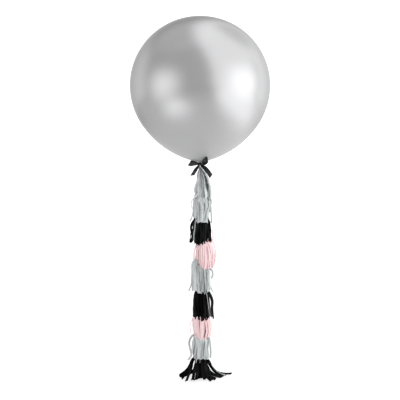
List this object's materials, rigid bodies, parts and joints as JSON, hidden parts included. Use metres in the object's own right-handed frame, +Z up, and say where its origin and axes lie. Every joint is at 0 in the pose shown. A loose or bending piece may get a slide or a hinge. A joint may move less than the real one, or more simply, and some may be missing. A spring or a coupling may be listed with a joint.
{
  "type": "giant latex balloon with tassel garland",
  "caption": "Gas-filled round latex balloon with a satin bow at its tied neck and a hanging garland of paper tassels.",
  "frame": {"origin": "middle of the round envelope, where the gas lifts it", "axes": "+Z up, against the hanging garland; the bow faces -Y; +X to the viewer's right"},
  "size_m": [0.8998, 0.8998, 2.325],
  "materials": {
    "latex": "pearl silver latex, satin gloss",
    "satin": "black satin ribbon",
    "cord": "white twisted cotton cord",
    "silver_paper": "silver metallic tissue paper",
    "black_paper": "black tissue paper",
    "pink_paper": "pale pink tissue paper"
  },
  "bodies": {
    "balloon": {"envelope": "latex", "neck_knot": "latex", "neck_mouth": "latex", "ribbon_band": "satin", "bow_knot": "satin", "bow_loop_left": "satin", "bow_loop_right": "satin", "bow_tail_left": "satin", "bow_tail_right": "satin", "cord_loop": "cord"},
    "hitch": {"cord_hitch": "cord"},
    "garland": {"cord": "cord"},
    "tassel_1": {"tassel_1_twist": "silver_paper", "tassel_1_fringe": "silver_paper"},
    "tassel_2": {"tassel_2_twist": "silver_paper", "tassel_2_fringe": "silver_paper"},
    "tassel_3": {"tassel_3_twist": "black_paper", "tassel_3_fringe": "black_paper"},
    "tassel_4": {"tassel_4_twist": "pink_paper", "tassel_4_fringe": "pink_paper"},
    "tassel_5": {"tassel_5_twist": "silver_paper", "tassel_5_fringe": "silver_paper"},
    "tassel_6": {"tassel_6_twist": "black_paper", "tassel_6_fringe": "black_paper"},
    "tassel_7": {"tassel_7_twist": "pink_paper", "tassel_7_fringe": "pink_paper"},
    "tassel_8": {"tassel_8_twist": "silver_paper", "tassel_8_fringe": "silver_paper"},
    "tassel_9": {"tassel_9_twist": "black_paper", "tassel_9_fringe": "black_paper"}
  },
  "joints": [
    {"name": "garland_side_swing", "type": "hinge", "parent": "balloon", "child": "hitch", "pos_m": [0, -0.01, -0.514], "axis": [0, -1, 0], "range_deg": [-10, 10]},
    {"name": "garland_front_swing", "type": "hinge", "parent": "hitch", "child": "garland", "pos_m": [0, -0.01, -0.514], "axis": [-1, 0, 0], "range_deg": [-10, 10]},
    {"name": "tassel_1_turn", "type": "hinge", "parent": "garland", "child": "tassel_1", "pos_m": [0, -0.01, -0.5175], "axis": [0, 0, 1], "continuous": true},
    {"name": "tassel_2_turn", "type": "hinge", "parent": "garland", "child": "tassel_2", "pos_m": [0, -0.01, -0.662], "axis": [0, 0, 1], "continuous": true},
    {"name": "tassel_3_turn", "type": "hinge", "parent": "garland", "child": "tassel_3", "pos_m": [0, -0.01, -0.812], "axis": [0, 0, 1], "continuous": true},
    {"name": "tassel_4_turn", "type": "hinge", "parent": "garland", "child": "tassel_4", "pos_m": [0, -0.01, -0.964], "axis": [0, 0, 1], "continuous": true},
    {"name": "tassel_5_turn", "type": "hinge", "parent": "garland", "child": "tassel_5", "pos_m": [0, -0.01, -1.115], "axis": [0, 0, 1], "continuous": true},
    {"name": "tassel_6_turn", "type": "hinge", "parent": "garland", "child": "tassel_6", "pos_m": [0, -0.01, -1.266], "axis": [0, 0, 1], "continuous": true},
    {"name": "tassel_7_turn", "type": "hinge", "parent": "garland", "child": "tassel_7", "pos_m": [0, -0.01, -1.417], "axis": [0, 0, 1], "continuous": true},
    {"name": "tassel_8_turn", "type": "hinge", "parent": "garland", "child": "tassel_8", "pos_m": [0, -0.01, -1.568], "axis": [0, 0, 1], "continuous": true},
    {"name": "tassel_9_turn", "type": "hinge", "parent": "garland", "child": "tassel_9", "pos_m": [0, -0.01, -1.719], "axis": [0, 0, 1], "continuous": true}
  ]
}
